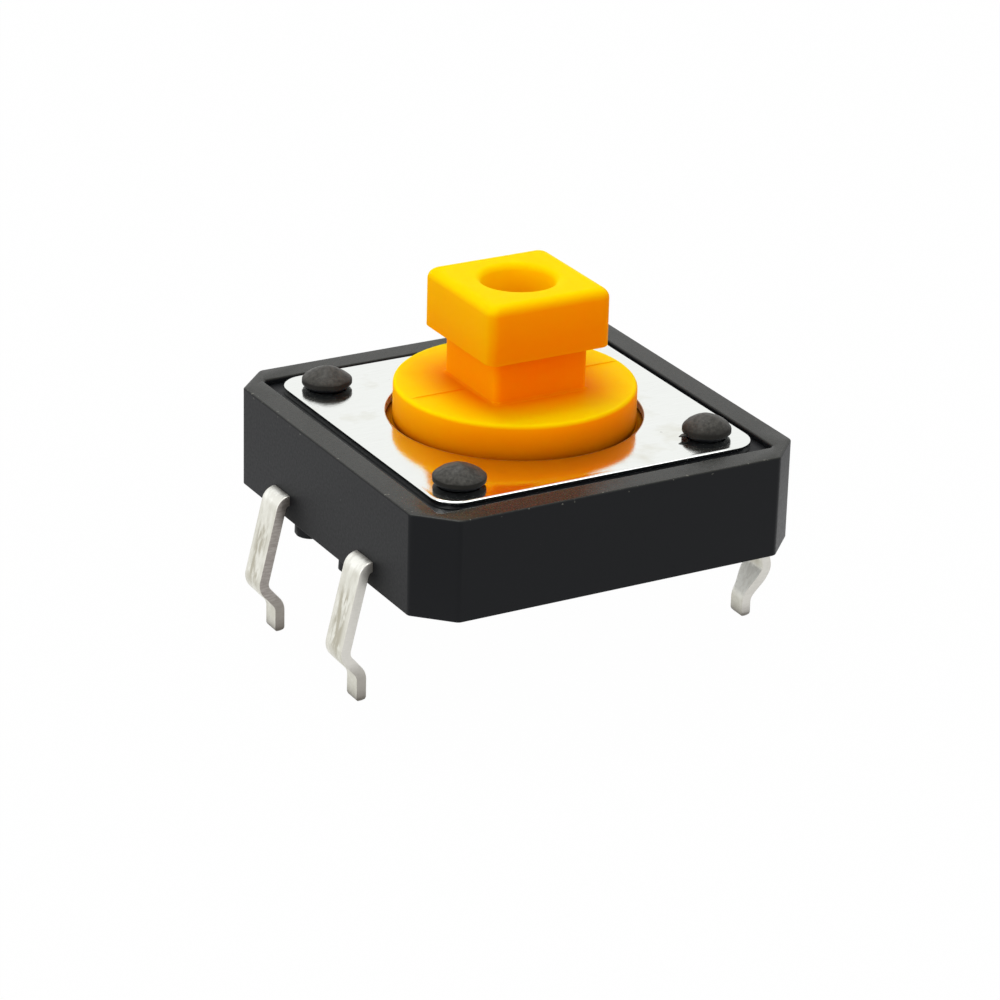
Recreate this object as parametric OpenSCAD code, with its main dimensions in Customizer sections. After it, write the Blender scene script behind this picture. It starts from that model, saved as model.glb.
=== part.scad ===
// Tactile push button switch, 12 mm square, for through-hole mounting.
// The board's top face is z = 0. The terminal rows stand on the left and the right, along X.

/* [Body] */
// Width of the square body
body_w = 12; // [11.6:0.1:13]
// Height of the body's rim above the board
body_top = 3.3; // [3.2:0.05:3.8]
// Height of the feet that hold the body off the board
foot_h = 0.35; // [0.25:0.05:0.45]
// Diameter of each foot
foot_d = 0.9; // [0.7:0.05:1.2]
// Distance from the body's side to the foot
foot_inset = 0.05; // [0.05:0.05:0.4]
// Distance between a back foot and the terminal near it, middle to middle, along the side
back_foot_offset = 0.8; // [0.7:0.05:1.3]
// Distance between a front foot and the terminal near it, middle to middle, along the side
front_foot_offset = 1.5; // [0.7:0.05:1.8]
// Width of the flat across each upright corner, measured along the side
corner_cut = 1; // [0.6:0.1:1.4]
// Width of the rim around the cover
rim_w = 0.75; // [0.6:0.05:0.85]
// Plastic under the terminal strips
floor_t = 0.45; // [0.35:0.05:0.55]
// Plastic over the terminal strips, up to the seat of the dome
strip_cover = 0.17; // [0.1:0.01:0.25]
// Diameter of the holes that the mould pins leave in the underside
pin_hole_d = 1; // [0.6:0.1:1.2]
// Distance from the body's side to the outer mould pins
pin_hole_inset = 1.8; // [1.5:0.1:2.2]

/* [Cover] */
// Thickness of the cover plate
cover_t = 0.25; // [0.15:0.05:0.35]
// How far the cover stands above the rim
cover_proud = 0.08; // [0:0.01:0.12]
// Gap between the cover and the rim
cover_gap = 0.25; // [0.1:0.01:0.3]
// Radius of the cover's corners
cover_corner_r = 0.75; // [0.4:0.05:1]
// Width of the cover between its edge and the hole for the button
cover_web = 1.38; // [1.3:0.01:1.6]

/* [Stakes] */
// Distance from the body's sides to the middle of each stake
stake_inset = 2.1; // [1.95:0.05:2.15]
// Diameter of the shaft of a stake
stake_d = 1; // [0.8:0.05:1.1]
// Clearance around the shaft in the cover's hole
stake_gap = 0.05; // [0.03:0.01:0.1]
// Diameter of the stake's formed head
stake_head_d = 1.42; // [1.3:0.02:1.7]
// Slope of the head's conical top, in degrees
stake_slope = 21; // [14:1:26]
// Height of the head's rim above the cover
stake_rim_h = 0.34; // [0.26:0.01:0.4]
// Height of the bevel under the head's rim
stake_bevel = 0.11; // [0.04:0.01:0.2]
// Radius of the head's rounded point
stake_tip_r = 0.5; // [0.3:0.05:0.7]

/* [Button] */
// Travel of the button
travel = 0.3; // [0.2:0.05:0.35]
// Gap between the round flange and the cover
flange_gap = 0.2; // [0.15:0.01:0.35]
// Height of the flange above the rim
flange_rise = 1; // [0.8:0.05:1.3]
// Radius of the flange's top edge
flange_edge_r = 0.18; // [0.05:0.01:0.3]
// Width of the square neck
neck_w = 2.95; // [2.7:0.05:3.1]
// Height of the neck
neck_h = 1.35; // [1:0.05:1.6]
// Radius of the neck's upright corners
neck_corner_r = 0.2; // [0.1:0.05:0.5]
// Width of the square head
head_w = 3.85; // [3.6:0.05:4]
// Height of the head
head_h = 1.7; // [1.4:0.05:2]
// Radius of the head's upright corners
head_corner_r = 0.25; // [0.15:0.05:0.6]
// Radius of the head's top edges
head_edge_r = 0.3; // [0.1:0.05:0.5]
// Diameter of the blind hole in the head
socket_d = 2.1; // [1.6:0.05:2.3]
// Depth of the blind hole
socket_depth = 2; // [1.5:0.1:2.6]
// Radius of the hole's mouth
socket_mouth_r = 0.15; // [0.05:0.01:0.2]
// How far the hidden collar laps under the cover, beyond the hole
collar_lap = 0.36; // [0.2:0.02:0.45]
// Height of the collar
collar_h = 0.8; // [0.6:0.05:0.85]
// Width of the two ears that stop the button turning
ear_w = 1.4; // [1:0.1:2]
// How far the ears stand out from the collar
ear_out = 0.55; // [0.3:0.05:0.6]
// Diameter of the stem that presses on the dome
stem_d = 2; // [1.4:0.1:2.6]
// Wall of the flange around the groove cored out of the button's underside
core_wall = 0.51; // [0.4:0.01:0.7]
// Diameter of the boss inside that groove
core_boss_d = 3.2; // [2.8:0.1:3.6]
// Depth of that groove
core_depth = 1.2; // [0.6:0.1:1.3]
// Side clearance of the moving button in the body
slide_gap = 0.15; // [0.08:0.01:0.2]
// Clearance above and below the resting button
rest_gap = 0.04; // [0.02:0.01:0.08]

/* [Terminals] */
// Thickness of the terminal metal
lead_t = 0.3; // [0.2:0.02:0.36]
// Width of a terminal
lead_w = 0.95; // [0.7:0.05:1.1]
// Width of a terminal's toe
toe_w = 0.6; // [0.4:0.05:0.7]
// Distance from the body's side to the middle of a toe's metal
toe_out = 0.2; // [0.15:0.05:0.5]
// Distance from the body's front or back to the middle of the nearest terminal
lead_inset = 3.5; // [3.3:0.1:3.7]
// Distance of the shoulder's corner from the body's side
shoulder_out = 0.2; // [0.12:0.02:0.3]
// Depth of the knee below the board's top face
knee_depth = 1.6; // [1.2:0.1:1.8]
// How far the knee stands outside the toes
knee_out = 0.62; // [0.3:0.05:0.8]
// Depth at which the toe turns straight down
ankle_depth = 2.3; // [2.1:0.05:2.5]
// Depth of the toes' ends
toe_depth = 3.02; // [2.9:0.01:3.6]
// Radius of each bend, at the middle of the metal
bend_r = 0.28; // [0.2:0.02:0.34]
// Bevel at the end of each toe
toe_bevel = 0.08; // [0.04:0.02:0.12]
// Width of the tongue that carries the centre contact
tongue_w = 1.2; // [0.8:0.1:1.6]
// Diameter of the pad under the centre contact
pad_d = 1.8; // [1.4:0.1:2]
// Diameter of the raised contacts
contact_d = 0.8; // [0.6:0.05:0.9]
// Height of the centre contact above the seat of the dome
contact_rise = 0.08; // [0.04:0.01:0.12]

/* [Dome] */
// Width of the shelf around the seat of the dome
shelf_w = 0.3; // [0.2:0.05:0.4]
// Thickness of the dome
dome_t = 0.1; // [0.06:0.01:0.12]
// Side clearance of the dome in its seat
dome_gap = 0.1; // [0.05:0.01:0.15]

/* [Hidden] */
$fn = 64;
// Gap between the terminals and the plastic moulded round them
insert_gap = 0.01;
// Length by which a cutting shape passes the face it cuts
past = 1;
// Gap between the resting dome, its seat and the stem
touch_gap = 0.01;
// Length by which a straight stretch of a strip runs into its bends
bend_overlap = 0.003;

half = body_w / 2;
pocket_w = body_w - 2 * rim_w;
cover_w = pocket_w - 2 * cover_gap;
cover_hole_d = cover_w - 2 * cover_web;
cover_top = body_top + cover_proud;
cover_low = cover_top - cover_t;
stake_pitch = body_w - 2 * stake_inset;

strip_low = foot_h + floor_t;
strip_top = strip_low + lead_t;
strip_mid = strip_low + lead_t / 2;
lead_pitch = body_w - 2 * lead_inset;
lead_y = lead_pitch / 2;
toe_x = half + toe_out;

seat_z = strip_top + strip_cover;
contact_top = seat_z + contact_rise;
dome_low = seat_z + touch_gap;
dome_under = contact_top + travel;
dome_top = dome_under + dome_t;
stem_low = dome_top + touch_gap;

flange_d = cover_hole_d - 2 * flange_gap;
flange_top = body_top + flange_rise;
head_low = flange_top + neck_h;
head_top = head_low + head_h;
collar_r = cover_hole_d / 2 + collar_lap;
collar_top = cover_low - rest_gap;
collar_low = collar_top - collar_h;
cavity_r = collar_r + slide_gap;
cavity_low = collar_low - travel - slide_gap;

seat_r = cavity_r - shelf_w;
dome_d = 2 * (seat_r - dome_gap);
// The outer contacts carry the dome's rim, so they end at the edge of its seat
outer_contact_x = sqrt(pow(seat_r - contact_d / 2, 2) - pow(lead_y, 2));

foot_x = half - foot_inset - foot_d / 2;
back_foot_y = lead_y - back_foot_offset;
front_foot_y = front_foot_offset - lead_y;
pin_hole_x = half - pin_hole_inset;

// Copies its children to four corners, a distance x and y from the axis
module at_corners(x, y = undef) {
    for (sx = [-1, 1], sy = [-1, 1])
        translate([sx * x, sy * (is_undef(y) ? x : y), 0])
            children();
}

// Square prism with round upright corners, standing on z = 0
module round_square(w, r, h) {
    inner = w - 2 * r;
    translate([-w / 2, -inner / 2, 0]) cube([w, inner, h]);
    translate([-inner / 2, -w / 2, 0]) cube([inner, w, h]);
    at_corners(inner / 2) cylinder(r = r, h = h);
}

// Square with its corners cut off
module cut_square(w, cut) {
    a = w / 2;
    b = a - cut;
    polygon([[a, b], [b, a], [-b, a], [-a, b], [-a, -b], [-b, -a], [b, -a], [a, -b]]);
}

// Base: the moulded body with its feet, stakes and cavity
module stake_head() {
    r = stake_head_d / 2;
    ball_z = stake_rim_h + r * tan(stake_slope) - stake_tip_r / cos(stake_slope);
    join_x = stake_tip_r * sin(stake_slope);
    join_z = ball_z + stake_tip_r * cos(stake_slope);
    rotate_extrude() {
        polygon([
            [0, 0], [r - stake_bevel, 0], [r, stake_bevel], [r, stake_rim_h],
            [join_x, join_z], [0, join_z]
        ]);
        translate([0, ball_z])
            intersection() {
                circle(stake_tip_r);
                square(stake_tip_r);
            }
    }
}

module stake() {
    translate([0, 0, cover_low - past / 2])
        cylinder(d = stake_d, h = cover_t + past / 2 + stake_rim_h / 2);
    translate([0, 0, cover_top + touch_gap]) stake_head();
}

module feet() {
    for (side = [-1, 1], y = [front_foot_y, back_foot_y])
        translate([side * foot_x, y, 0]) cylinder(d = foot_d, h = foot_h + floor_t / 2);
}

module pin_holes() {
    depth = floor_t + past;
    translate([0, 0, foot_h - past]) {
        cylinder(d = pin_hole_d, h = depth);
        at_corners(pin_hole_x, lead_y) cylinder(d = pin_hole_d, h = depth);
    }
}

module cavity() {
    translate([0, 0, cavity_low]) {
        cylinder(r = cavity_r, h = past + body_top);
        ears(slide_gap, body_top);
    }
    translate([0, 0, seat_z]) cylinder(r = seat_r, h = body_top);
    translate([0, 0, strip_top]) cylinder(d = pad_d - 2 * insert_gap, h = body_top);
}

module base() {
    color("#2b2c30") {
        difference() {
            translate([0, 0, foot_h])
                linear_extrude(body_top - foot_h) cut_square(body_w, corner_cut);
            translate([-pocket_w / 2, -pocket_w / 2, cover_low])
                cube([pocket_w, pocket_w, body_top]);
            cavity();
            pin_holes();
            centre_insert(insert_gap);
            outer_insert(insert_gap);
        }
        at_corners(stake_pitch / 2) stake();
        feet();
    }
}

// Cover plate: the stamped steel plate held down by the stakes
module cover_plate() {
    color("#d9dbde")
        difference() {
            translate([0, 0, cover_low]) round_square(cover_w, cover_corner_r, cover_t);
            translate([0, 0, cover_low - past]) {
                cylinder(d = cover_hole_d, h = cover_t + 2 * past);
                at_corners(stake_pitch / 2)
                    cylinder(d = stake_d + 2 * stake_gap, h = cover_t + 2 * past);
            }
        }
}

// Button: the moulded plunger with its flange, neck and head
module ears(gap, h) {
    reach = collar_r + ear_out + gap;
    translate([-reach, -ear_w / 2 - gap, 0]) cube([2 * reach, ear_w + 2 * gap, h]);
}

module flange() {
    r = flange_d / 2;
    inner = r - flange_edge_r;
    h = flange_top - collar_top;
    translate([0, 0, collar_top - touch_gap])
        rotate_extrude() {
            square([inner, h + touch_gap]);
            square([r, h + touch_gap - flange_edge_r]);
            translate([inner, h + touch_gap - flange_edge_r]) circle(flange_edge_r);
        }
}

// Square profile of the head with its two top corners rounded
module head_side() {
    a = head_w / 2;
    b = a - head_edge_r;
    translate([-a, 0]) square([head_w, head_h - head_edge_r]);
    translate([-b, 0]) square([2 * b, head_h]);
    for (s = [-1, 1]) translate([s * b, head_h - head_edge_r]) circle(head_edge_r);
}

module head() {
    intersection() {
        round_square(head_w, head_corner_r, head_h);
        rotate([90, 0, 0]) linear_extrude(head_w + past, center = true) head_side();
        rotate([90, 0, 90]) linear_extrude(head_w + past, center = true) head_side();
    }
}

// Blind hole with a rounded mouth, its mouth at z = 0
module socket() {
    r = socket_d / 2;
    mouth_r = r + socket_mouth_r;
    rotate_extrude() {
        translate([0, -socket_depth]) square([r, socket_depth]);
        square([mouth_r, past]);
        difference() {
            translate([0, -socket_mouth_r]) square([mouth_r, socket_mouth_r]);
            translate([mouth_r, -socket_mouth_r]) circle(socket_mouth_r);
        }
    }
}

module core_groove() {
    inner = core_boss_d / 2;
    rotate_extrude()
        translate([inner, 0])
            square([flange_d / 2 - core_wall - inner, core_depth + past]);
}

module button() {
    color("#fba70a")
        difference() {
            union() {
                translate([0, 0, collar_low]) {
                    cylinder(r = collar_r, h = collar_h);
                    ears(0, collar_h);
                }
                flange();
                translate([0, 0, stem_low]) cylinder(d = stem_d, h = flange_top - stem_low);
                translate([0, 0, flange_top - neck_h / 4])
                    round_square(neck_w, neck_corner_r, neck_h * 5 / 4 + head_h / 4);
                translate([0, 0, head_low]) head();
            }
            translate([0, 0, collar_low - past]) core_groove();
            translate([0, 0, head_top]) socket();
        }
}

// Snap dome: a thin spherical cap that stands on the seat
module snap_dome() {
    rim_r = dome_d / 2;
    rise = dome_under - dome_low;
    sphere_r = (pow(rim_r, 2) + pow(rise, 2)) / (2 * rise);
    color("#b9bcc0")
        intersection() {
            translate([0, 0, dome_under - sphere_r])
                difference() {
                    sphere(r = sphere_r + dome_t, $fn = 96);
                    sphere(r = sphere_r, $fn = 96);
                }
            translate([0, 0, dome_low]) cylinder(r = rim_r, h = past);
        }
}

// Terminals: bent strips that carry the contacts
function direction(a, b) = (b - a) / norm(b - a);
function left_of(v) = [-v.y, v.x];
function turn_angle(a, b, c) = acos(direction(a, b) * direction(b, c));
function turn_side(a, b, c) = sign(cross(direction(a, b), direction(b, c)));
function setback(a, b, c) = bend_r * tan(turn_angle(a, b, c) / 2);

// Flat stretch of a strip from a to b, seen from its edge
module strip_run(a, b) {
    d = direction(a, b);
    translate(a)
        rotate(atan2(d.y, d.x))
            translate([-bend_overlap, -lead_t / 2])
                square([norm(b - a) + 2 * bend_overlap, lead_t]);
}

// Bend of a strip at b, on the way from a to c, seen from its edge
module strip_bend(a, b, c) {
    side = turn_side(a, b, c);
    from = b - direction(a, b) * setback(a, b, c);
    to = b + direction(b, c) * setback(a, b, c);
    centre = from + side * left_of(direction(a, b)) * bend_r;
    intersection() {
        translate(centre)
            difference() {
                circle(bend_r + lead_t / 2);
                circle(bend_r - lead_t / 2);
            }
        polygon([centre, centre + (from - centre) * 2, centre + (b - centre) * 4,
                 centre + (to - centre) * 2]);
    }
}

// Strip that follows points, rounded at each inner point, seen from its edge
module bent_strip(points) {
    last = len(points) - 1;
    for (i = [0:last - 1]) {
        a = points[i];
        b = points[i + 1];
        d = direction(a, b);
        from = i == 0 ? a : a + d * setback(points[i - 1], a, b);
        to = i == last - 1 ? b : b - d * setback(a, b, points[i + 2]);
        strip_run(from, to);
    }
    for (i = [1:last - 1])
        strip_bend(points[i - 1], points[i], points[i + 1]);
}

// Front view of a terminal: full width down to the knee, then narrowed to the toe
module leg_front() {
    a = lead_w / 2;
    b = toe_w / 2;
    c = b - toe_bevel;
    polygon([
        [a, strip_top + past], [a, -knee_depth - bend_r], [b, -ankle_depth],
        [b, toe_bevel - toe_depth], [c, -toe_depth], [-c, -toe_depth],
        [-b, toe_bevel - toe_depth], [-b, -ankle_depth], [-a, -knee_depth - bend_r],
        [-a, strip_top + past]
    ]);
}

// Strip across the body with a terminal bent down at each end
module terminal_strip() {
    right = [
        [half + shoulder_out, strip_mid],
        [toe_x + knee_out, -knee_depth],
        [toe_x, -ankle_depth],
        [toe_x, -toe_depth]
    ];
    path = concat([for (i = [3:-1:0]) [-right[i].x, right[i].y]], right);
    intersection() {
        rotate([90, 0, 0]) linear_extrude(lead_w, center = true) bent_strip(path);
        rotate([90, 0, 90]) linear_extrude(2 * body_w, center = true) leg_front();
    }
}

// Flat stretch of the strip inside the body, larger by gap all round
module strip_insert(gap) {
    translate([-half - past, -lead_w / 2 - gap, strip_low - gap])
        cube([body_w + 2 * past, lead_w + 2 * gap, lead_t + 2 * gap]);
}

// Tongue and pad that reach from the strip to the button's axis
module tongue(gap) {
    translate([0, 0, strip_low - gap]) {
        translate([-tongue_w / 2 - gap, 0, 0])
            cube([tongue_w + 2 * gap, lead_y, lead_t + 2 * gap]);
        cylinder(d = pad_d + 2 * gap, h = lead_t + 2 * gap);
    }
}

// Contact pressed up out of the strip, to a height z
module contact(z, gap) {
    translate([0, 0, strip_mid]) cylinder(d = contact_d + 2 * gap, h = z - strip_mid);
}

// Hollow under a pressed contact
module contact_dimple() {
    translate([0, 0, strip_low - past])
        cylinder(d = contact_d - lead_t, h = past + lead_t / 2);
}

module centre_insert(gap) {
    translate([0, lead_y, 0]) strip_insert(gap);
    tongue(gap);
}

module outer_insert(gap) {
    translate([0, -lead_y, 0]) {
        strip_insert(gap);
        for (s = [-1, 1]) translate([s * outer_contact_x, 0, 0]) contact(seat_z + past, gap);
    }
}

module centre_terminal() {
    color("#c8cacb")
        difference() {
            union() {
                translate([0, lead_y, 0]) terminal_strip();
                tongue(0);
                contact(contact_top, 0);
            }
            contact_dimple();
        }
}

module outer_terminal() {
    color("#c8cacb")
        translate([0, -lead_y, 0])
            difference() {
                union() {
                    terminal_strip();
                    for (s = [-1, 1]) translate([s * outer_contact_x, 0, 0]) contact(seat_z, 0);
                }
                for (s = [-1, 1]) translate([s * outer_contact_x, 0, 0]) contact_dimple();
            }
}

base();
cover_plate();
button();
snap_dome();
centre_terminal();
outer_terminal();
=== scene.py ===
"""Studio scene of a square tactile push button switch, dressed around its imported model.

Lengths are in millimetres. Meshes are scaled to metres when they are made, and a length in a
material, a light or the camera is multiplied by MM where it is used.
"""

import math
import random

import bmesh
import bpy
from mathutils import Matrix, Vector, noise


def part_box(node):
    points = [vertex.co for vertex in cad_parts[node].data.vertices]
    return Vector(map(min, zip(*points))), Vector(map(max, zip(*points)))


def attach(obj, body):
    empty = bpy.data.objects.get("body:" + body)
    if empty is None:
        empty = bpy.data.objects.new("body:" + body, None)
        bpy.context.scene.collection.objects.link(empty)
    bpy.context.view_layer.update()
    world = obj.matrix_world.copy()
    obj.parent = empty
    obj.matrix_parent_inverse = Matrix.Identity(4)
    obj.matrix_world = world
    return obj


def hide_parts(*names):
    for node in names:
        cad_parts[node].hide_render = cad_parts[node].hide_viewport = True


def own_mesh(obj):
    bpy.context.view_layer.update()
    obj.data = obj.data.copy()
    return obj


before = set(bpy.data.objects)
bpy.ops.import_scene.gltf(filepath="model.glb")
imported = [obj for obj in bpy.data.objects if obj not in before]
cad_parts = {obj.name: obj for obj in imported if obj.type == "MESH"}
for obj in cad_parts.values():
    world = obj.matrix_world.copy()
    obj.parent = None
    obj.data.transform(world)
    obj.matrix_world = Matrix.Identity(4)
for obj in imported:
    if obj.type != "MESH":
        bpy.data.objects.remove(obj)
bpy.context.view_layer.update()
MM = 0.001
SHARP_ANGLE = math.radians(40)
PAST = 1.0  # how far a cutter reaches past what it cuts
noise.seed_set(3)  # without a seed, noise_vector takes its offsets from the clock


def span(node):
    """Lowest and highest corner of a node, in millimetres."""
    low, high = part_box(node)
    return low / MM, high / MM


base_high = span("base")[1]
cover_low, cover_high = span("cover_plate")
button_low, button_high = span("button")
dome_low, dome_high = span("snap_dome")
strip_low = span("centre_terminal")[0]

# Body
HALF = base_high.x
UNDERSIDE = 0.35
RIM_TOP = cover_high.z - 0.08
CORNER_CUT = 1.0
RIM = 0.75
SEAT_Z = dome_low.z - 0.01
SEAT_R = dome_high.x + 0.1
CAVITY_R = 4.13
CAVITY_LOW = 1.84
PAD_HOLE_R = 0.89
EAR_PLAY = 0.15
PIN_HOLE_R = 0.5
PIN_HOLE_X = 4.2

# Feet under the left and right sides
FOOT_X = 5.5
FOOT_Y = (-1.0, 1.7)
FOOT_R = 0.45

# Cover
COVER_R = 0.75
HOLE_R = 3.62
STAKE_AT = 3.9
STAKE_R = 0.5
STAKE_PLAY = 0.05
STAKES = (  # x, y, radius of the head, bulge of its top
    (-STAKE_AT, -STAKE_AT, 0.74, 1.35), (-STAKE_AT, STAKE_AT, 0.71, 1.35),
    (STAKE_AT, -STAKE_AT, 0.69, 1.9), (STAKE_AT, STAKE_AT, 0.71, 1.6),
)
BURRED = 2  # the stake that has the burr

# Button
FLANGE_R = 3.42
FLANGE_TOP = 4.3
NECK = 1.475
NECK_CORNER = 0.2
HEAD = 1.925
HEAD_CORNER = 0.29
HEAD_LOW = 5.65
SOCKET_R = 1.05
SOCKET_DEPTH = 2.0
COLLAR_R = 3.98
COLLAR_TOP = cover_low.z - 0.04
COLLAR_LOW = COLLAR_TOP - 0.8
GROOVE_IN, GROOVE_OUT = 1.6, 2.91
GROOVE_DEPTH = 1.2
EAR_W, EAR_OUT = 1.4, 0.55
STEM_R = 1.0

# Dome
DOME_T = 0.1

# Terminals
LEAD_T = 0.3
LEAD_W = 0.95
TOE_W = 0.6
LEAD_Y = 2.5
STRIP_MID = 0.95
STRIP_LOW, STRIP_TOP = STRIP_MID - LEAD_T / 2, STRIP_MID + LEAD_T / 2
SHOULDER_X = HALF + 0.2
KNEE = (HALF + 0.82, -1.6)
ANKLE = (HALF + 0.2, -2.3)
SHOULDER_R, KNEE_R, ANKLE_R = 0.28, 0.4, 0.45
TOE_Z = strip_low.z - 0.1
OPENED = 0.25
PAD_R = 0.9
ARM_HALF = 0.6
CONTACT_R = 0.4


# Geometry helpers

def fillet(points, radii, steps):
    """Polyline through points with each inner corner rounded by its own radius."""
    out = [Vector(points[0])]
    for i in range(1, len(points) - 1):
        a, b, c = (Vector(points[j]) for j in (i - 1, i, i + 1))
        radius = radii[i - 1]
        to_a, to_c = (a - b).normalized(), (c - b).normalized()
        angle = to_a.angle(to_c)
        if radius <= 0 or angle > math.pi - 0.01:
            out.append(b)
            continue
        back = min(radius / math.tan(angle / 2), 0.49 * (a - b).length, 0.49 * (c - b).length)
        radius = back * math.tan(angle / 2)
        centre = b + (to_a + to_c).normalized() * (radius / math.sin(angle / 2))
        start, end = b + to_a * back - centre, b + to_c * back - centre
        sweep = start.angle(end)
        for k in range(steps + 1):
            t = k / steps
            arm = start * math.sin((1 - t) * sweep) + end * math.sin(t * sweep)
            out.append(centre + arm / math.sin(sweep))
    out.append(Vector(points[-1]))
    return out


def quarter(count):
    """Points of a quarter round, as the shares of its radius that are left and that are gone."""
    angles = [math.radians(90 * k / (count - 1)) for k in range(count)]
    return [(1 - math.sin(a), 1 - math.cos(a)) for a in angles]


def corner_ring(corners, radius, z, corner_steps, side_steps):
    """Closed ring round a convex outline, with the same count of points for any size of it."""
    points = []
    count = len(corners)
    for i in range(count):
        a, b, c, d = (Vector(corners[(i + j) % count]) for j in (-1, 0, 1, 2))
        rounded = fillet([(a + b) / 2, b, (b + c) / 2], [radius], corner_steps)[1:-1]
        next_start = fillet([(b + c) / 2, c, (c + d) / 2], [radius], corner_steps)[1]
        points += rounded
        points += [rounded[-1].lerp(next_start, k / side_steps) for k in range(1, side_steps)]
    return [Vector((p.x, p.y, z)) for p in points]


def square_ring(half, radius, z):
    corners = [(half, -half), (half, half), (-half, half), (-half, -half)]
    return corner_ring(corners, radius, z, 8, 18)


def cut_ring(half, cut, radius, z):
    """Ring round a square whose corners are cut off."""
    k = half - cut
    corners = [
        (half, -k), (half, k), (k, half), (-k, half),
        (-half, k), (-half, -k), (-k, -half), (k, -half),
    ]
    return corner_ring(corners, radius, z, 6, 8)


def round_ring(pattern, radius, z):
    """Circle with its points in the directions of another ring's points."""
    return [Vector((p.x, p.y, 0)).normalized() * radius + Vector((0, 0, z)) for p in pattern]


def loft(mesh, rings, capped=True):
    """Adds a skin over rings of equal counts to a bmesh, closed at both ends if asked."""
    rows = [[mesh.verts.new(p) for p in ring] for ring in rings]
    count = len(rows[0])
    for lower, upper in zip(rows, rows[1:]):
        for i in range(count):
            j = (i + 1) % count
            mesh.faces.new((lower[i], lower[j], upper[j], upper[i]))
    if capped:
        mesh.faces.new(list(reversed(rows[0])))
        mesh.faces.new(rows[-1])
    return rows


def finish_mesh(name, mesh):
    """Turns a bmesh in millimetres into an object in metres, smooth except at sharp edges."""
    bmesh.ops.recalc_face_normals(mesh, faces=mesh.faces)
    bmesh.ops.scale(mesh, vec=(MM, MM, MM), verts=mesh.verts)
    data = bpy.data.meshes.new(name)
    mesh.to_mesh(data)
    mesh.free()
    data.shade_smooth()
    data.set_sharp_from_angle(angle=SHARP_ANGLE)
    obj = bpy.data.objects.new(name, data)
    bpy.context.scene.collection.objects.link(obj)
    return obj


def skin(name, rings):
    """Object with a skin over rings, closed at both ends."""
    mesh = bmesh.new()
    loft(mesh, rings)
    return finish_mesh(name, mesh)


def box(name, low, high):
    """Plain box between two corners."""
    (x0, y0, z0), (x1, y1, z1) = low, high
    outline = ((x0, y0), (x1, y0), (x1, y1), (x0, y1))
    return skin(name, [[Vector((x, y, z)) for x, y in outline] for z in (z0, z1)])


def lathe(name, profile, centre=(0, 0), steps=96, wobble=None):
    """Solid of revolution. The profile runs from the axis to the axis, as (radius, height)."""
    mesh = bmesh.new()
    rings = []
    for r, z in profile[1:-1]:
        ring = []
        for i in range(steps):
            a = 2 * math.pi * i / steps
            p = Vector((centre[0] + r * math.cos(a), centre[1] + r * math.sin(a), z))
            ring.append(wobble(p) if wobble else p)
        rings.append(ring)
    rows = loft(mesh, rings, capped=False)
    for row, end, flip in ((rows[0], profile[0], True), (rows[-1], profile[-1], False)):
        tip = mesh.verts.new((*centre, end[1]))
        for i in range(steps):
            j = (i + 1) % steps
            mesh.faces.new((row[j], row[i], tip) if flip else (row[i], row[j], tip))
    return finish_mesh(name, mesh)


def cylinder(name, radius, low, top, centre=(0, 0), steps=48):
    return lathe(name, [(0, low), (radius, low), (radius, top), (0, top)], centre, steps)


def apply_modifiers(obj):
    bpy.context.view_layer.update()
    graph = bpy.context.evaluated_depsgraph_get()
    data = bpy.data.meshes.new_from_object(obj.evaluated_get(graph))
    obj.modifiers.clear()
    obj.data = data


def combine(obj, others, operation):
    """Cuts the others' volume out of obj, or joins it to obj, and removes them."""
    for other in others:
        change = obj.modifiers.new("combine", "BOOLEAN")
        change.operation = operation
        change.solver = "EXACT"
        change.object = other
        apply_modifiers(obj)
        bpy.data.objects.remove(other)
    least = 1e-3 * MM
    mesh = bmesh.new()
    mesh.from_mesh(obj.data)
    bmesh.ops.remove_doubles(mesh, verts=mesh.verts, dist=least)
    bmesh.ops.dissolve_degenerate(mesh, edges=mesh.edges, dist=least)
    mesh.to_mesh(obj.data)
    mesh.free()


def weigh_normals(obj):
    """Keeps flat faces flat beside their small round edges."""
    obj.data.shade_smooth()
    obj.data.set_sharp_from_angle(angle=SHARP_ANGLE)
    change = obj.modifiers.new("normals", "WEIGHTED_NORMAL")
    change.keep_sharp = True
    change.weight = 100


def dress(obj, body, node, material):
    """Puts a finished piece in place of a node."""
    obj.data.materials.clear()
    obj.data.materials.append(material)
    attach(obj, body)
    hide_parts(node)


# Materials

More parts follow.
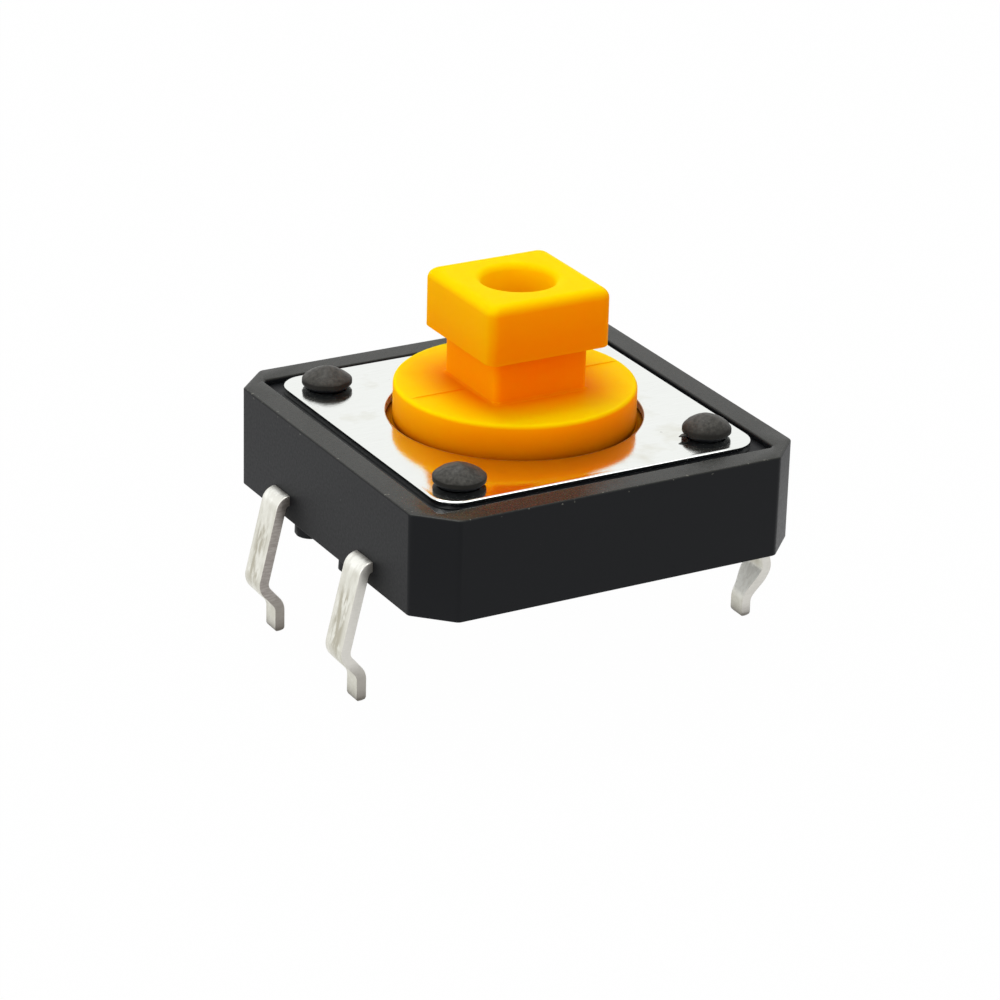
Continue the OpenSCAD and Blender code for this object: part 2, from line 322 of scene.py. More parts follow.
class Nodes:
    """Short calls for building a node material."""

    def __init__(self, name):
        self.material = bpy.data.materials.new(name)
        self.material.use_nodes = True
        self.tree = self.material.node_tree
        self.shader = self.tree.nodes["Principled BSDF"]
        self.place = self.add("ShaderNodeTexCoord").outputs["Object"]

    def add(self, kind, **settings):
        node = self.tree.nodes.new(kind)
        for key, value in settings.items():
            setattr(node, key, value)
        return node

    def link(self, source, target):
        self.tree.links.new(source, target)

    def put(self, socket, value):
        """Gives a socket a constant or another node's output."""
        if hasattr(value, "is_output"):
            self.link(value, socket)
        else:
            socket.default_value = value

    def set(self, **values):
        """Sets the shader's sockets. Their names have _ for a space."""
        for key, value in values.items():
            self.put(self.shader.inputs[key.replace("_", " ")], value)

    def axes(self, vector):
        """The three parts of a vector, by name."""
        node = self.add("ShaderNodeSeparateXYZ")
        self.link(vector, node.inputs[0])
        return node.outputs

    def normal(self):
        return self.add("ShaderNodeNewGeometry").outputs["Normal"]

    def stretch(self, scale):
        """Object coordinates scaled by a factor on each axis."""
        node = self.add("ShaderNodeMapping")
        node.inputs["Scale"].default_value = scale
        self.link(self.place, node.inputs["Vector"])
        return node.outputs["Vector"]

    def noise(self, per_mm, detail=3.0, roughness=0.55, vector=None):
        node = self.add("ShaderNodeTexNoise")
        node.inputs["Scale"].default_value = per_mm / MM
        node.inputs["Detail"].default_value = detail
        node.inputs["Roughness"].default_value = roughness
        self.link(vector or self.place, node.inputs["Vector"])
        return node.outputs["Fac"]

    def openness(self, distance):
        """How open a point lies to the sky, looking as far as a distance."""
        node = self.add("ShaderNodeAmbientOcclusion", samples=8)
        node.inputs["Distance"].default_value = distance * MM
        return node.outputs["AO"]

    def radius(self, spot):
        """Distance from the upright axis."""
        flat = self.add("ShaderNodeCombineXYZ")
        for axis in "XY":
            self.link(spot[axis], flat.inputs[axis])
        length = self.add("ShaderNodeVectorMath", operation="LENGTH")
        self.link(flat.outputs[0], length.inputs[0])
        return length.outputs["Value"]

    def math(self, operation, *values):
        """Math node whose inputs are numbers or other nodes' outputs."""
        node = self.add("ShaderNodeMath", operation=operation)
        for socket, value in zip(node.inputs, values):
            self.put(socket, value)
        return node.outputs[0]

    def ramp(self, source, low, high, colours):
        """Maps a value between low and high onto two colours."""
        node = self.add("ShaderNodeValToRGB")
        for stop, at, colour in zip(node.color_ramp.elements, (low, high), colours):
            stop.position = at
            stop.color = (*colour, 1)
        self.link(source, node.inputs["Fac"])
        return node.outputs["Color"]

    def spread(self, source, low, high, out_low=0.0, out_high=1.0):
        """Maps a value linearly from one range to another, held at its ends."""
        node = self.add("ShaderNodeMapRange")
        ends = {"From Min": low, "From Max": high, "To Min": out_low, "To Max": out_high}
        for key, value in ends.items():
            node.inputs[key].default_value = value
        self.link(source, node.inputs["Value"])
        return node.outputs["Result"]

    def reach(self, source, low, high, out_low=0.0, out_high=1.0):
        """Spread of a length, from low to high in millimetres."""
        return self.spread(source, low * MM, high * MM, out_low, out_high)

    def mix(self, factor, first, second):
        node = self.add("ShaderNodeMix", data_type="RGBA")
        self.link(factor, node.inputs["Factor"])
        for key, value in (("A", first), ("B", second)):
            socket = [s for s in node.inputs if s.name == key and s.type == "RGBA"][0]
            self.put(socket, (*value, 1) if isinstance(value, tuple) else value)
        return [s for s in node.outputs if s.type == "RGBA"][0]

    def bump(self, layers):
        """Chains bumps, each (height, depth in mm, strength), into the shader's normal."""
        last = None
        for height, depth, strength in layers:
            node = self.add("ShaderNodeBump")
            node.inputs["Distance"].default_value = depth * MM
            node.inputs["Strength"].default_value = strength
            self.link(height, node.inputs["Height"])
            if last:
                self.link(last, node.inputs["Normal"])
            last = node.outputs["Normal"]
        self.link(last, self.shader.inputs["Normal"])


def black_plastic():
    """Grained on the upright sides, smoother on the faces that look up, which are painted lighter,
    partly as wear and partly as painted light from above.
    """
    side_black, under_head = (0.003, 0.0036, 0.0048), (0.013, 0.012, 0.010)
    rim_lit_and_worn_blacks = ((0.021, 0.022, 0.019), (0.031, 0.032, 0.028))
    head_lit_greys = ((0.034, 0.033, 0.029), (0.072, 0.069, 0.061))
    chip_grey = (0.13, 0.13, 0.11)
    n = Nodes("black_plastic")
    spot = n.axes(n.place)
    rising = n.axes(n.normal())["Z"]
    grain = n.noise(12, 4, 0.65)
    mottle = n.noise(9, 4, 0.7)

    # Faces that look up are painted lighter: partly wear, partly painted light from above
    up = n.math("MULTIPLY", n.reach(spot["Z"], RIM_TOP - 0.12, RIM_TOP - 0.03),
                n.spread(rising, 0.5, 0.85))
    # Stake heads in lit and shaded copies: painted light makes their upward faces a lighter grey,
    # the other faces get the darker under_head colour as painted shade
    on_head = n.math("MULTIPLY", n.spread(rising, -0.3, 0.1),
                     n.reach(spot["Z"], RIM_TOP + 0.1, RIM_TOP + 0.14))
    body = n.mix(up, side_black, n.ramp(mottle, 0.38, 0.62, rim_lit_and_worn_blacks))
    head = n.mix(up, under_head, n.ramp(mottle, 0.38, 0.62, head_lit_greys))
    body = n.mix(on_head, body, head)

    # Small chips, most of them along the upper outer edge
    outward = n.math("MAXIMUM", *(n.math("ABSOLUTE", spot[axis]) for axis in "XY"))
    near_edge = n.math("MULTIPLY", n.reach(outward, HALF - 0.3, HALF - 0.05, 0.0, 0.12),
                       n.reach(spot["Z"], RIM_TOP - 0.35, RIM_TOP - 0.05))
    chips = n.spread(n.math("ADD", n.noise(8, 1), near_edge), 0.81, 0.85)

    gloss = n.math("ADD", n.spread(up, 0.0, 1.0, 0.42, 0.23),
                   n.spread(on_head, 0.0, 1.0, 0.0, 0.18))
    n.set(
        Base_Color=n.mix(chips, body, chip_grey),
        Roughness=n.math("ADD", gloss, n.spread(grain, 0.3, 0.7, -0.06, 0.08)),
        Specular_IOR_Level=0.15,
    )
    n.bump([(grain, 0.004, 0.3), (n.noise(0.8, 2), 0.02, 0.1)])
    return n.material


def orange_plastic():
    """Translucent orange plastic with painted light and shade: yellow where it faces the light and
    lies open, deeper orange as painted shade in the recesses.
    """
    shaded_and_lit_tones = ((0.87, 0.15, 0.0), (1.0, 0.62, 0.0))
    foot_shade_brown, deep_shade_brown = (0.41, 0.098, 0.0), (0.08, 0.025, 0.0)
    cloud_orange = (1.0, 0.36, 0.0)
    light_from = (-0.35, 0.05, 0.93)
    n = Nodes("orange_plastic")
    cloud = n.noise(0.5, 2)
    seen = n.openness(2.2)
    spot = n.axes(n.place)

    # Painted light from above and the left: the colour turns yellower where a face looks towards
    # the light and lies open to the sky
    toward = n.add("ShaderNodeVectorMath", operation="DOT_PRODUCT")
    n.link(n.normal(), toward.inputs[0])
    toward.inputs[1].default_value = light_from
    toward = toward.outputs["Value"]
    facing = n.math("MAXIMUM", n.spread(toward, -0.1, 0.85, 0.2, 1.0),
                    n.spread(toward, -0.9, -0.4, 0.9, 0.2))
    lit = n.math("MULTIPLY", facing, n.spread(seen, 0.4, 0.95, 0.25, 1.0))

    # Painted shadow of the head: the flange darkens towards the neck, along an outline that has the
    # neck's rounded corners
    across, along = (n.math("ABSOLUTE", spot[axis]) for axis in "XY")
    corner = n.math("MULTIPLY_ADD", n.math("ADD", across, along), math.sqrt(0.5),
                    (NECK_CORNER - NECK) * (math.sqrt(2) - 1) * MM)
    outward = n.math("MAXIMUM", n.math("MAXIMUM", across, along), corner)
    painted_head_shadow = n.math("MULTIPLY", n.reach(outward, NECK + 0.002, NECK + 0.012),
                 n.reach(outward, NECK + 0.02, NECK + 1.3, 0.6, 0.0))
    painted_head_shadow = n.math("MULTIPLY", painted_head_shadow, n.reach(spot["Z"], HEAD_LOW - 0.6, HEAD_LOW - 0.5, 1.0, 0.0))
    lit = n.math("MULTIPLY", lit, n.math("SUBTRACT", 1.0, painted_head_shadow))

    # Painted glow: the socket's wall is painted lighter, standing in for the light that comes
    # through the head
    painted_glow = n.math("MULTIPLY", n.reach(n.radius(spot), SOCKET_R, SOCKET_R + 0.2, 0.85, 0.0),
                  n.reach(spot["Z"], FLANGE_TOP + 1, HEAD_LOW + 0.4))
    tint = n.ramp(n.math("ADD", lit, painted_glow), 0.0, 1.0, shaded_and_lit_tones)

    # Painted shade: the flange's side darkens downwards, and below the cover's top it is painted
    # brown where little light gets in
    foot = n.math("MULTIPLY", n.spread(facing, 0.2, 0.6, 1.0, 0.4),
                  n.reach(spot["Z"], FLANGE_TOP - 0.95, FLANGE_TOP - 0.1, 1.0, 0.0))
    tint = n.mix(foot, tint, foot_shade_brown)
    deep = n.mix(n.spread(seen, 0.12, 0.34), deep_shade_brown, tint)
    tint = n.mix(n.reach(spot["Z"], cover_high.z - 0.15, cover_high.z), deep, tint)

    n.set(
        Base_Color=n.mix(n.spread(cloud, 0.3, 0.7, 0.0, 0.08), tint, cloud_orange),
        Roughness=n.spread(n.noise(5, 3), 0.3, 0.7, 0.5, 0.62),
        Subsurface_Weight=0.75,
        Subsurface_Scale=1.0 * MM,
        Subsurface_Radius=(1.0, 0.42, 0.04),
        Specular_IOR_Level=0.02,
        Specular_Tint=(1.0, 0.55, 0.05, 1),
    )
    n.bump([(n.noise(9, 3), 0.01, 0.2), (cloud, 0.03, 0.2)])
    return n.material


def plate_steel():
    """Bright rolled steel with a few stains, duller where it was sheared round the opening."""
    steels = ((0.84, 0.86, 0.83), (0.90, 0.92, 0.89))
    stain_buff, mark_grey = (0.66, 0.64, 0.52), (0.5, 0.5, 0.47)
    n = Nodes("plate_steel")
    brushed = n.noise(1.2, 4, 0.6, n.stretch((1, 30, 1)))
    cloud = n.noise(0.35, 2)
    marks = n.spread(n.noise(2.6, 2), 0.72, 0.78, 0.0, 0.7)
    stains = n.spread(n.noise(0.55, 3, 0.6), 0.56, 0.72, 0.0, 0.5)
    colour = n.mix(stains, n.ramp(brushed, 0.3, 0.7, steels), stain_buff)
    sheared = n.reach(n.radius(n.axes(n.place)), HOLE_R + 0.01, HOLE_R + 0.05, 0.4, 0.0)
    n.set(
        Base_Color=n.mix(marks, colour, mark_grey),
        Metallic=1.0,
        Roughness=n.math("ADD", n.spread(brushed, 0.3, 0.7, 0.07, 0.13), sheared),
    )
    n.bump([(brushed, 0.003, 0.3), (n.noise(1.6, 3, 0.6), 0.009, 0.3), (cloud, 0.02, 0.2)])
    return n.material


def tin_plate():
    """Bright plating on the flat faces, warmer bare metal with shear marks on the cut edges."""
    tins = ((0.60, 0.59, 0.51), (0.76, 0.75, 0.68))
    lit_top_tin, worn_brown = (0.97, 0.97, 0.91), (0.40, 0.37, 0.28)
    bares = ((0.30, 0.27, 0.25), (0.44, 0.41, 0.38))
    front_bare_lit, toe_bare_shaded = (0.76, 0.75, 0.70), (0.30, 0.28, 0.25)
    recess_shade = (0.10, 0.085, 0.07)
    n = Nodes("tin_plate")
    spot, facing = n.axes(n.place), n.axes(n.normal())
    streak = n.noise(5, 4, 0.6, n.stretch((1, 1, 0.1)))
    patch = n.noise(1.8, 4, 0.65)
    shear = n.noise(3, 3, 0.6, n.stretch((1, 1, 6)))

    # The plating is worn through in streaks, mostly down the middle of a leg
    middle = n.math("MULTIPLY", n.reach(spot["Z"], KNEE[1] - 0.1, KNEE[1] + 0.3),
                    n.reach(spot["Z"], 0.0, 0.3, 1.0, 0.0))
    off_middle = n.math("SUBTRACT", n.math("ABSOLUTE", spot["Y"]), LEAD_Y * MM)
    middle = n.math("MULTIPLY", middle,
                    n.reach(n.math("ABSOLUTE", off_middle), 0.2, 0.36, 1.0, 0.0))
    worn = n.math("MULTIPLY", n.spread(streak, 0.44, 0.56, 1.0, 0.0),
                  n.spread(middle, 0.0, 1.0, 0.2, 0.8))
    # Painted highlight: faces that look up are lighter
    up = n.spread(facing["Z"], 0.1, 0.5)
    plated = n.mix(worn, n.mix(up, n.ramp(patch, 0.35, 0.65, tins), lit_top_tin), worn_brown)

    # Painted light and shade on the cut edges: lighter towards the front, and darker on the left
    # toes
    bare = n.ramp(shear, 0.35, 0.65, bares)
    bare = n.mix(n.reach(spot["Y"], -2, 2, 0.75, 0.0), bare, front_bare_lit)
    toe = n.math("MULTIPLY", n.reach(spot["X"], -1, 1, 1.0, 0.0),
                 n.reach(spot["Z"], ANKLE[1] - 0.1, ANKLE[1] + 0.5, 0.75, 0.0))
    bare = n.mix(toe, bare, toe_bare_shaded)

    cut = n.spread(n.math("ABSOLUTE", facing["Y"]), 0.6, 0.85)
    colour = n.mix(cut, plated, bare)
    n.set(
        # Painted shade in the recesses, where little of the sky is open, as under the shoulders
        Base_Color=n.mix(n.spread(n.openness(0.7), 0.45, 0.9, 0.85, 0.0), colour, recess_shade),
        Metallic=0.8,
        Roughness=n.math("ADD", n.spread(streak, 0.3, 0.7, 0.34, 0.48),
                         n.spread(cut, 0.0, 1.0, 0.0, 0.12)),
    )
    n.bump([(streak, 0.02, 0.5), (shear, 0.008, 0.3), (patch, 0.02, 0.25)])
    return n.material


def dome_steel():
    n = Nodes("dome_steel")
    fine = n.noise(3, 3)
    n.set(
        Base_Color=n.ramp(fine, 0.3, 0.7, ((0.62, 0.62, 0.63), (0.74, 0.74, 0.74))),
        Metallic=1.0,
        Roughness=n.spread(fine, 0.3, 0.7, 0.2, 0.3),
    )
    n.bump([(fine, 0.004, 0.2)])
    return n.material


# Pieces

def make_housing():
    low_edge, edge, lip = 0.03, 0.05, 0.06
    outer_r, pattern_r, pocket_r = 0.2, 0.1, 0.04
    inner, inner_cut = HALF - RIM, 0.1
    pattern = cut_ring(HALF, CORNER_CUT, pattern_r, 0)

    def wall(inset, z):
        return cut_ring(HALF - inset, CORNER_CUT, outer_r, z)

    rings = [cut_ring(HALF - 1.5, CORNER_CUT, pattern_r, UNDERSIDE)]
    rings += [wall(low_edge * left, UNDERSIDE + low_edge * gone) for left, gone in quarter(4)]
    rings += [wall(edge * gone, RIM_TOP - edge * left) for left, gone in quarter(5)]
    for left, gone in quarter(5):
        rings.append(cut_ring(inner + lip * left, inner_cut, pocket_r, RIM_TOP - lip * gone))
    rings.append(cut_ring(inner, inner_cut, pocket_r, cover_low.z))
    rings += [round_ring(pattern, r, z) for r, z in (
        (CAVITY_R, cover_low.z), (CAVITY_R, CAVITY_LOW), (SEAT_R, CAVITY_LOW), (SEAT_R, SEAT_Z),
        (PAD_HOLE_R, SEAT_Z), (PAD_HOLE_R, STRIP_TOP))]
    housing = skin("housing", rings)

    reach = COLLAR_R + EAR_OUT + EAR_PLAY
    low_corner = (-reach, -EAR_W / 2 - EAR_PLAY, CAVITY_LOW)
    cutters = [box("ear_slot", low_corner, (reach, EAR_W / 2 + EAR_PLAY, RIM_TOP + PAST))]
    pins = [(0, 0)] + [(sx * PIN_HOLE_X, sy * LEAD_Y) for sx in (-1, 1) for sy in (-1, 1)]
    cutters += [cylinder("pin", PIN_HOLE_R, -PAST, STRIP_LOW, centre) for centre in pins]
    combine(housing, cutters, "DIFFERENCE")

    extras = [make_stake((x, y), r, bulge) for x, y, r, bulge in STAKES]
    x, y, r, _ = STAKES[BURRED]
    extras.append(make_burr((x - r, y)))
    extras += [make_foot((sx * FOOT_X, y)) for sx in (-1, 1) for y in FOOT_Y]
    combine(housing, extras, "UNION")
    weigh_normals(housing)
    return housing


def make_stake(centre, r, bulge):
    """Post through the cover with its head formed by heat: a blunt cone on a thick disc."""
    top = cover_high.z
    post, gap, edge, rim, apex = 0.4, 0.01, 0.12, 0.24, 0.61
    profile = fillet(
        [(0, top - post), (STAKE_R, top - post), (STAKE_R, top + gap), (r - edge, top + gap),
         (r, top + edge), (r, top + rim)], [0.01, 0.01, 0.04, 0.04], 5)
    steps = 14
    for k in range(1, steps + 1):
        share = math.cos(math.radians(90 * k / steps))
        rise = (1 - share ** bulge) ** 0.8
        profile.append(Vector((r * share, top + rim + (apex - rim) * rise)))

    def melt(p):
        """Makes the head uneven, but not its post."""
        if p.z - top < 0.05:
            return p
        coarse = noise.noise_vector(p * 2.2 + Vector((3, 1, 7))) * 0.012
        fine = noise.noise_vector(p * 8) * 0.007
        return p + coarse + fine

    return lathe("stake", profile, centre, wobble=melt)


def make_burr(edge):
    """Sliver of plastic squeezed out at the edge of a stake's head."""
    x, y = edge
    low = cover_high.z + 0.1
    rings = []
    for out, half, thick in ((-0.15, 0.09, 0.06), (0.08, 0.07, 0.045), (0.2, 0.02, 0.015)):
        corners = ((-half, 0), (half, 0), (half, thick), (-half, thick))
        rings.append([Vector((x - out, y + side, low + height)) for side, height in corners])
    return skin("burr", rings)


def make_foot(centre):
    edge, plain, top = 0.06, UNDERSIDE - 0.03, UNDERSIDE + 0.1
    profile = fillet(
        [(0, 0), (FOOT_R, 0), (FOOT_R, plain), (FOOT_R, top), (0, top)], [edge, 0, 0], 5)

    def rough(p):
        """Makes the side uneven, but not the sole and not what meets the body."""
        if p.z > plain - 0.02 or p.z < 0.02:
            return p
        n = noise.noise_vector(p * 3.1)
        return Vector((p.x + n.x * 0.08, p.y + n.y * 0.08, p.z))

    return lathe("foot", profile, centre, 48, rough)


def make_cover():
    """Plate whose top droops a little towards its outer edge."""
    half = cover_high.x
    low, top = cover_low.z, cover_high.z
    under_edge, roll, flat = 0.02, 0.04, 0.03
    droop = 0.022
    side_drop = droop * 0.75
    slope = (0.8, 0.65, 0.5, 0.35, 0.2, 0.08)  # distances from the edge, over which it droops
    pattern = square_ring(half, COVER_R, 0)
    rings = [
        round_ring(pattern, HOLE_R, low + under_edge),
        round_ring(pattern, HOLE_R + under_edge, low),
        square_ring(half - under_edge, COVER_R, low),
        square_ring(half, COVER_R, low + under_edge),
    ]
    for left, gone in quarter(5):
        rings.append(square_ring(half - roll * gone, COVER_R, top - side_drop - roll * left))
    for inset in reversed(slope):
        drop = droop * (1 - inset / slope[0]) ** 2
        rings.append(square_ring(half - inset, COVER_R, top - drop))
    rings.append(round_ring(pattern, HOLE_R + roll + flat, top))
    for left, gone in quarter(5):
        rings.append(round_ring(pattern, HOLE_R + roll * left, top - roll * gone))
    rings.append(rings[0])
    mesh = bmesh.new()
    rows = loft(mesh, rings, capped=False)
    bmesh.ops.remove_doubles(mesh, verts=rows[0] + rows[-1], dist=1e-5)
    cover = finish_mesh("cover", mesh)

    spots = [(sx * STAKE_AT, sy * STAKE_AT) for sx in (-1, 1) for sy in (-1, 1)]
    holes = [cylinder("hole", STAKE_R + STAKE_PLAY, low - PAST, top + PAST, spot) for spot in spots]
    combine(cover, holes, "DIFFERENCE")
    weigh_normals(cover)
    return cover


def make_button():
    top = button_high.z
    bottom = top - SOCKET_DEPTH
    mouth, soft, low_edge = 0.2, 0.3, 0.025
    under_head, foot, flange_edge = 0.08, 0.1, 0.12
    root, chamfer, tip = 0.06, 0.04, 0.05
    pattern = square_ring(HEAD, 0.35, 0)
    rings = []

    def circle(r, z):
        rings.append(round_ring(pattern, r, z))

    def square(half, radius, z):
        rings.append(square_ring(half, radius, z))

    # From the socket's bottom up and over the head, then down to the stem
    circle(SOCKET_R - 0.15, bottom)
    circle(SOCKET_R - 0.03, bottom + 0.04)
    circle(SOCKET_R, bottom + 0.16)
    for left, gone in quarter(6):
        circle(SOCKET_R + mouth * gone, top - mouth * left)
    square(HEAD - soft - 0.04, 0.1, top)
    for left, gone in quarter(8):
        square(HEAD - soft * left, HEAD_CORNER - soft * left * 0.5, top - soft * gone)
    for left, gone in quarter(4):
        square(HEAD - low_edge * gone, HEAD_CORNER, HEAD_LOW + low_edge * left)
    for left, gone in quarter(4):
        square(NECK + under_head * left, NECK_CORNER, HEAD_LOW - under_head * gone)
    for left, gone in quarter(6):
        square(NECK + foot * gone, NECK_CORNER, FLANGE_TOP + foot * left)
    for left, gone in quarter(6):
        circle(FLANGE_R - flange_edge * left, FLANGE_TOP - flange_edge * gone)
    for r, z in (
        (FLANGE_R, COLLAR_TOP + root), (FLANGE_R + root, COLLAR_TOP),
        (COLLAR_R - chamfer, COLLAR_TOP), (COLLAR_R, COLLAR_TOP - chamfer),
        (COLLAR_R, COLLAR_LOW + chamfer), (COLLAR_R - chamfer, COLLAR_LOW),
        (GROOVE_OUT, COLLAR_LOW), (GROOVE_OUT, COLLAR_LOW + GROOVE_DEPTH),
        (GROOVE_IN, COLLAR_LOW + GROOVE_DEPTH), (GROOVE_IN, COLLAR_LOW),
        (STEM_R, COLLAR_LOW), (STEM_R, button_low.z + tip), (STEM_R - tip, button_low.z),
    ):
        circle(r, z)
    button = skin("plunger", rings)

    extras = []
    for side in (-1, 1):
        near, far = sorted((side * (COLLAR_R - 0.3), side * (COLLAR_R + EAR_OUT)))
        extras.append(box("ear", (near, -EAR_W / 2, COLLAR_LOW), (far, EAR_W / 2, COLLAR_TOP)))
        extras.append(make_seam(side))
    combine(button, extras, "UNION")
    weigh_normals(button)
    return button


def make_seam(side):
    """Thin raised line where the mould's halves met, from the neck to the flange's edge."""
    rise, end_rise, sunk = 0.025, 0.004, FLANGE_TOP - 0.01
    rings = []
    for x, height in ((NECK + 0.1, end_rise), (NECK + 0.3, rise),
                      (FLANGE_R - 0.3, rise), (FLANGE_R - 0.13, end_rise)):
        section = ((-0.02, sunk), (0.0, FLANGE_TOP + height),
                   (0.03, FLANGE_TOP + height * 0.9), (0.14, sunk))
        rings.append([Vector((side * x, y, z)) for y, z in section])
    return skin("seam", rings)


def leg(opened):
    """Middle of a leg from its shoulder to its toe, as (x, z).

    A leg bent open has its ankle lower and further out.
    """
    ankle = (ANKLE[0] + 0.3 * opened, ANKLE[1] - opened)
    return [(SHOULDER_X, STRIP_MID), KNEE, ankle, (ankle[0], TOE_Z)]


def lead_path(opened):
    """Middle of the strip seen from the front, from one toe to the other, as (x, z)."""
    points = [(-x, z) for x, z in reversed(leg(0))] + leg(opened)
    radii = [ANKLE_R, KNEE_R, SHOULDER_R, SHOULDER_R, KNEE_R, ANKLE_R]
    return fillet(points, radii, 8)


def refine(points, step):
    """Splits the long stretches of a polyline."""
    out = [points[0]]
    for a, b in zip(points, points[1:]):
        pieces = max(1, round((b - a).length / step))
        out += [a.lerp(b, k / pieces) for k in range(1, pieces + 1)]
    return out


def lead_width(z, opened):
    """Width of the strip at a height: narrowed between the knee and the ankle."""
    knee, ankle = KNEE[1] - 0.2, ANKLE[1] + 0.05 - opened
    t = min(1, max(0, (knee - z) / (knee - ankle)))
    t = t * t * (3 - 2 * t)
    return LEAD_W + (TOE_W - LEAD_W) * t


def lead_section(half_w, marks):
    """Section of the strip, as (across, height), with marks pressed into its outer face."""
    half_t = LEAD_T / 2
    edge, low_edge, belly, steps = 0.03, 0.015, 0.004, 20
    flat = [-half_w + edge + (2 * half_w - 2 * edge) * k / steps for k in range(steps + 1)]
    right = [
        (half_w - edge * 0.3, half_t - edge * 0.3), (half_w, half_t - edge), (half_w + belly, 0),
        (half_w, -half_t + low_edge), (half_w - low_edge, -half_t),
    ]
    left = [(-across, height) for across, height in reversed(right)]
    return [(across, half_t + marks(across)) for across in flat] + right + [(0, -half_t)] + left


def make_leads(name, y0, seed, opened):
    """One bent strip with a leg at each end, the right one bent open by some amount."""
    rng = random.Random(seed)
    grooves = [
        (side, rng.uniform(-0.3, 0.3), rng.uniform(0.02, 0.045),
         rng.uniform(-0.6, 0.2), rng.uniform(-1.5, -0.9))
        for side in (-1, -1, -1, 1, 1, 1)
    ]
    path = refine(lead_path(opened), 0.06)
    rings = []
    last = len(path) - 1
    for i, p in enumerate(path):
        ahead = path[min(i + 1, last)] - path[max(i - 1, 0)]
        ahead.normalize()
        out = Vector((-ahead.y, ahead.x))
        half_w = lead_width(p.y, opened if p.x > 0 else 0) / 2
        near_end = min((p - path[0]).length, (p - path[last]).length)
        squeeze = max(0, 0.08 - near_end)
        shrink_w = 1 - squeeze / half_w
        shrink_t = 1 - squeeze * 0.9 / (LEAD_T / 2)
        ring = []
        for across, height in lead_section(half_w, lambda at: dent(grooves, p, at)):
            q = p + out * (height * shrink_t)
            ring.append(Vector((q.x, y0 + across * shrink_w, q.y)))
        rings.append(ring)
    return skin(name, rings)


def dent(grooves, p, across):
    """Depth of the lengthwise press marks in a leg's outer face."""
    fade, deepest, unevenness = 0.25, 0.02, 0.006
    depth = 0.0
    for side, middle, width, top, bottom in grooves:
        if side * p.x < HALF:
            continue
        share = min((top - p.y) / fade, (p.y - bottom) / fade, 1)
        if share <= 0:
            continue
        depth -= deepest * share * math.exp(-((across - middle) / width) ** 2)
    if abs(p.x) > SHOULDER_X:
        depth += unevenness * noise.noise(Vector((p.x * 2, across * 3, p.y * 2)))
    return depth


def make_contact(centre, top):
    profile = fillet(
        [(0, STRIP_MID), (CONTACT_R, STRIP_MID), (CONTACT_R, top), (0, top)], [0, 0.06], 5)
    return lathe("contact", profile, centre, 48)


def make_centre_leads():
    """Strip with a pad on an arm, and on the pad the contact that the dome is pressed on."""
    leads = make_leads("centre_leads", LEAD_Y, 5, 0)
    pad = cylinder("pad", PAD_R, STRIP_LOW, STRIP_TOP, steps=64)
    inside = 0.005
    arm = box("arm", (-ARM_HALF, 0, STRIP_LOW + inside), (ARM_HALF, LEAD_Y, STRIP_TOP - inside))
    combine(leads, [arm, pad, make_contact((0, 0), SEAT_Z + 0.08)], "UNION")
    weigh_normals(leads)
    return leads


def make_outer_leads():
    """Strip with two contacts that the dome's rim stands on."""
    leads = make_leads("outer_leads", -LEAD_Y, 11, OPENED)
    x = math.sqrt((SEAT_R - CONTACT_R) ** 2 - LEAD_Y ** 2)
    combine(leads, [make_contact((s * x, -LEAD_Y), SEAT_Z) for s in (-1, 1)], "UNION")
    weigh_normals(leads)
    return leads


def make_dome():
    """Thin spherical cap on the seat in the base."""
    rim_r, under = dome_high.x, dome_high.z - DOME_T
    rise = under - dome_low.z
    sphere_r = (rim_r ** 2 + rise ** 2) / (2 * rise)
    middle = under - sphere_r
    steps = 24
    radii = [rim_r * k / steps for k in range(steps + 1)]
    profile = [(r, middle + math.sqrt(sphere_r ** 2 - r ** 2)) for r in radii]
    outer_r = sphere_r + DOME_T
    profile += [(r, middle + math.sqrt(outer_r ** 2 - r ** 2)) for r in reversed(radii)]
    return lathe("dome", profile)


# Studio

def make_camera():
    """Camera of the photograph, from a fit to the body's edges."""
    azimuth, elevation, roll = map(math.radians, (-30.10, 23.49, 1.66))
    distance = 114.1 * MM
    focal_px, frame_px = 4030.7, 1000.0
    axis_px = (511.5, 509.4)
    back = Vector((
        math.sin(azimuth) * math.cos(elevation),
        -math.cos(azimuth) * math.cos(elevation),
        math.sin(elevation),
    ))
    right = Vector((math.cos(azimuth), math.sin(azimuth), 0))
    up = back.cross(right)
    right, up = (
        right * math.cos(roll) + up * math.sin(roll),
        up * math.cos(roll) - right * math.sin(roll),
    )
    data = bpy.data.cameras.new("camera")
    data.sensor_width = 36
    data.lens = data.sensor_width * focal_px / frame_px
    data.shift_x = -(axis_px[0] - frame_px / 2) / frame_px
    data.shift_y = (axis_px[1] - frame_px / 2) / frame_px
    data.clip_start = 1 * MM
    camera = bpy.data.objects.new("camera", data)
    turn = Matrix((right, up, back)).transposed().to_4x4()
    spot = Vector((0, 0, UNDERSIDE * MM)) + back * distance
    camera.matrix_world = Matrix.Translation(spot) @ turn
    bpy.context.scene.collection.objects.link(camera)
    bpy.context.scene.camera = camera


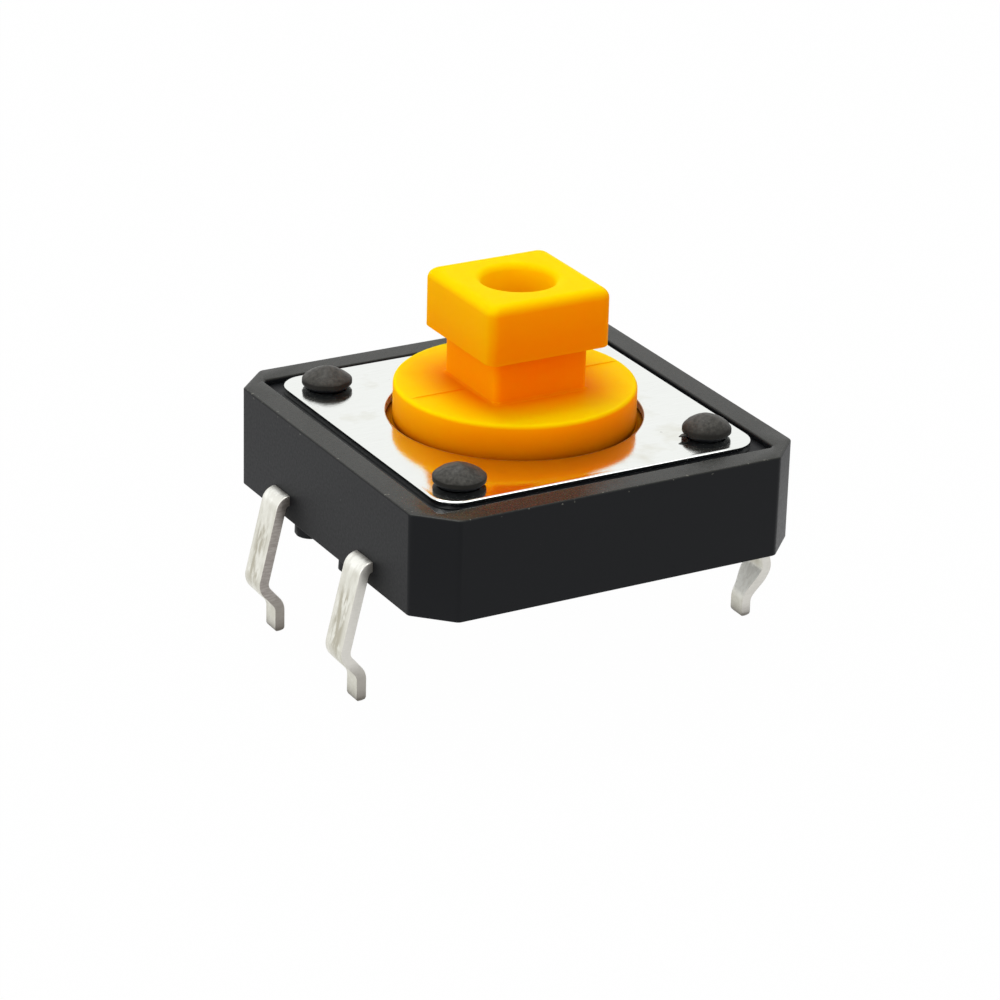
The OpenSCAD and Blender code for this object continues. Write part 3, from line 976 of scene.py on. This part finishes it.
def white_for_sight(tree, lit, white, share, target):
    """Joins a lit look and a plain white one into target.

    What the camera, reflections and see-through rays meet is white, by some share.
    """
    rays = tree.nodes.new("ShaderNodeLightPath").outputs
    sight = rays["Is Camera Ray"]
    for kind in ("Is Glossy Ray", "Is Transmission Ray"):
        either = tree.nodes.new("ShaderNodeMath")
        either.operation = "MAXIMUM"
        tree.links.new(sight, either.inputs[0])
        tree.links.new(rays[kind], either.inputs[1])
        sight = either.outputs[0]
    weight = tree.nodes.new("ShaderNodeMath")
    weight.operation = "MULTIPLY"
    weight.inputs[1].default_value = share
    tree.links.new(sight, weight.inputs[0])
    mix = tree.nodes.new("ShaderNodeMixShader")
    for source, socket in zip((weight.outputs[0], lit, white), mix.inputs):
        tree.links.new(source, socket)
    tree.links.new(mix.outputs[0], target)


def make_world():
    world = bpy.data.worlds.new("studio")
    world.use_nodes = True
    tree = world.node_tree
    lit, white = tree.nodes["Background"], tree.nodes.new("ShaderNodeBackground")
    for background, strength in ((lit, 0.7), (white, 1.0)):
        background.inputs["Color"].default_value = (1, 1, 1, 1)
        background.inputs["Strength"].default_value = strength
    target = tree.nodes["World Output"].inputs["Surface"]
    white_for_sight(tree, lit.outputs[0], white.outputs[0], 1.0, target)
    bpy.context.scene.world = world


def make_floor():
    """Pale floor under the toes. It is white to the eye but for a little of its shadow."""
    greys = ((0.6, 0.6, 0.6), (0.62, 0.62, 0.62))
    mesh = bmesh.new()
    bmesh.ops.create_circle(mesh, cap_ends=True, segments=96, radius=900)
    floor = finish_mesh("floor", mesh)
    floor.location.z = (TOE_Z - 0.02) * MM
    n = Nodes("floor")
    n.set(Base_Color=n.ramp(n.noise(0.01, 2), 0.3, 0.7, greys), Roughness=0.9)
    white = n.add("ShaderNodeEmission")
    white.inputs["Strength"].default_value = 1.0
    target = n.tree.nodes["Material Output"].inputs["Surface"]
    white_for_sight(n.tree, n.shader.outputs[0], white.outputs[0], 0.99, target)
    floor.data.materials.append(n.material)


def area_light(name, place, size, watts):
    """Round light at a place, turned to the origin."""
    data = bpy.data.lights.new(name, "AREA")
    data.shape = "DISK"
    data.size = size * MM
    data.energy = watts
    light = bpy.data.objects.new(name, data)
    light.location = Vector(place) * MM
    aim = -light.location.normalized()
    light.rotation_mode = "QUATERNION"
    light.rotation_quaternion = aim.to_track_quat("-Z", "Y")
    bpy.context.scene.collection.objects.link(light)


bpy.context.scene.view_settings.view_transform = "Standard"
make_camera()
make_world()
make_floor()
area_light("key", (10, 60, 150), 90, 0.09)
area_light("side", (-150, -10, 60), 80, 0.06)
area_light("front", (60, -150, 80), 80, 0.045)

tin = tin_plate()
dress(make_housing(), "housing", "base", black_plastic())
dress(make_cover(), "housing", "cover_plate", plate_steel())
dress(make_button(), "plunger", "button", orange_plastic())
dress(make_centre_leads(), "housing", "centre_terminal", tin)
dress(make_outer_leads(), "housing", "outer_terminal", tin)
dome = make_dome()
dress(dome, "housing", "snap_dome", dome_steel())
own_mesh(dome)
